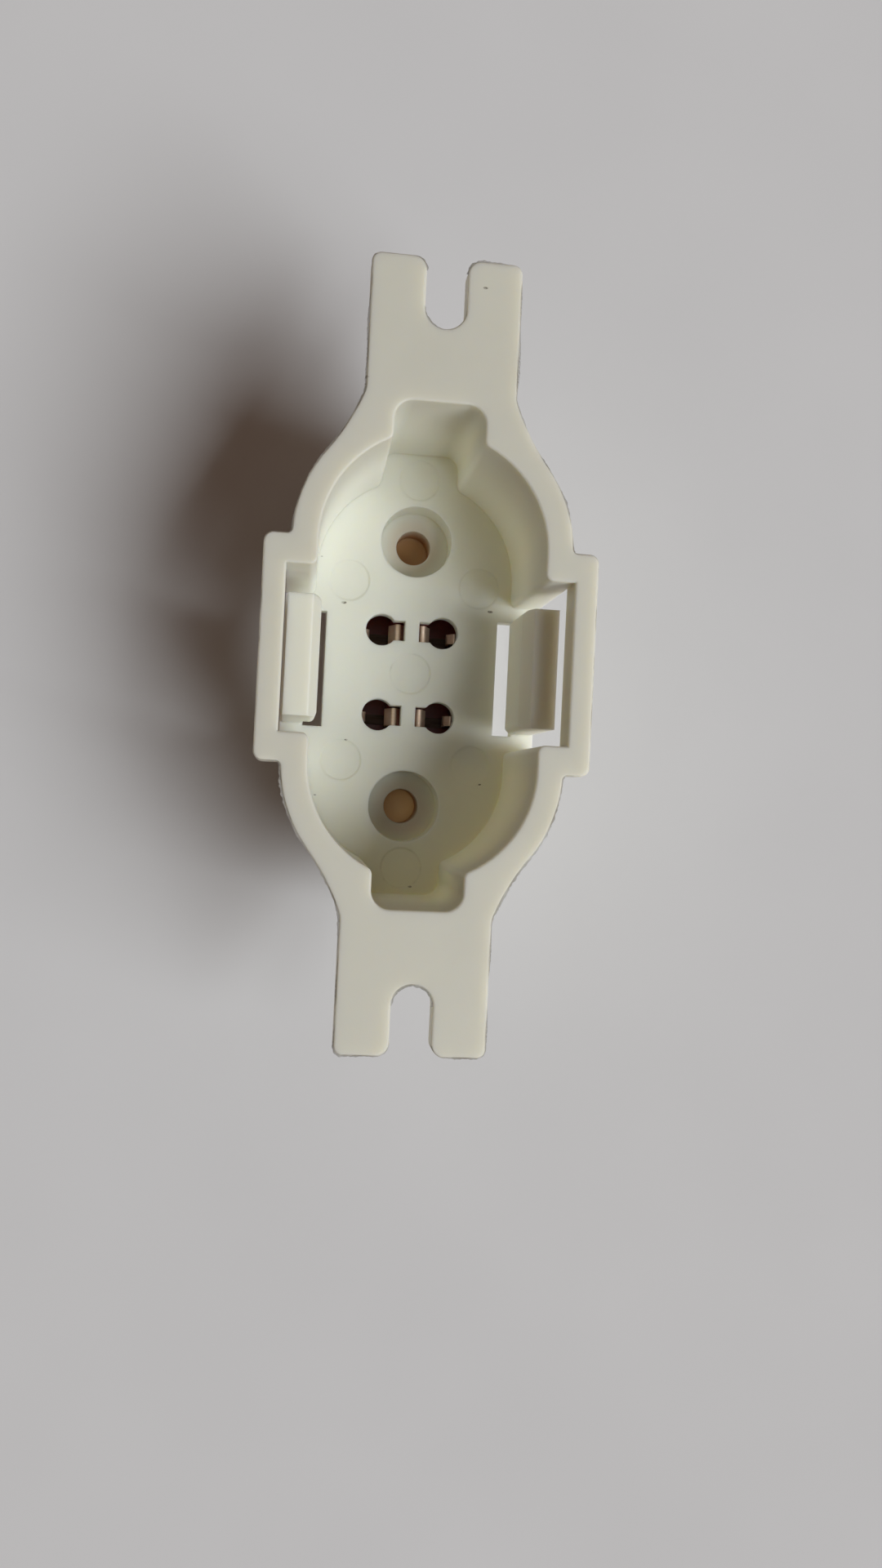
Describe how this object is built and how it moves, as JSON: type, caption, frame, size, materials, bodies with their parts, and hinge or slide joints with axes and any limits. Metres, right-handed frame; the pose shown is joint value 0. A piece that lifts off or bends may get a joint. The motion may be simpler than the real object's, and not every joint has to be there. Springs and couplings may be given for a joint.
{
  "type": "four-pin lamp holder",
  "caption": "Deep moulded lamp holder with keyhole pin apertures, end keyways, side snap latches and forked fixing ears.",
  "frame": {"origin": "middle of the rear face, on which the holder lies and against which it is screwed", "axes": "+Z out of the lamp well, +Y along the two forked ears, +X across the two snap latches"},
  "size_m": [0.0354, 0.0834, 0.0312],
  "materials": {
    "ivory_pbt": "moulded, fine satin",
    "brown_phenolic": "compression moulded, dull dark red-brown",
    "phosphor_bronze": "stamped strip, slightly dull"
  },
  "bodies": {
    "root": {"housing": "ivory_pbt", "rear_cover": "brown_phenolic", "pin_contact_1": "phosphor_bronze", "pin_contact_2": "phosphor_bronze", "pin_contact_3": "phosphor_bronze", "pin_contact_4": "phosphor_bronze"}
  },
  "joints": []
}
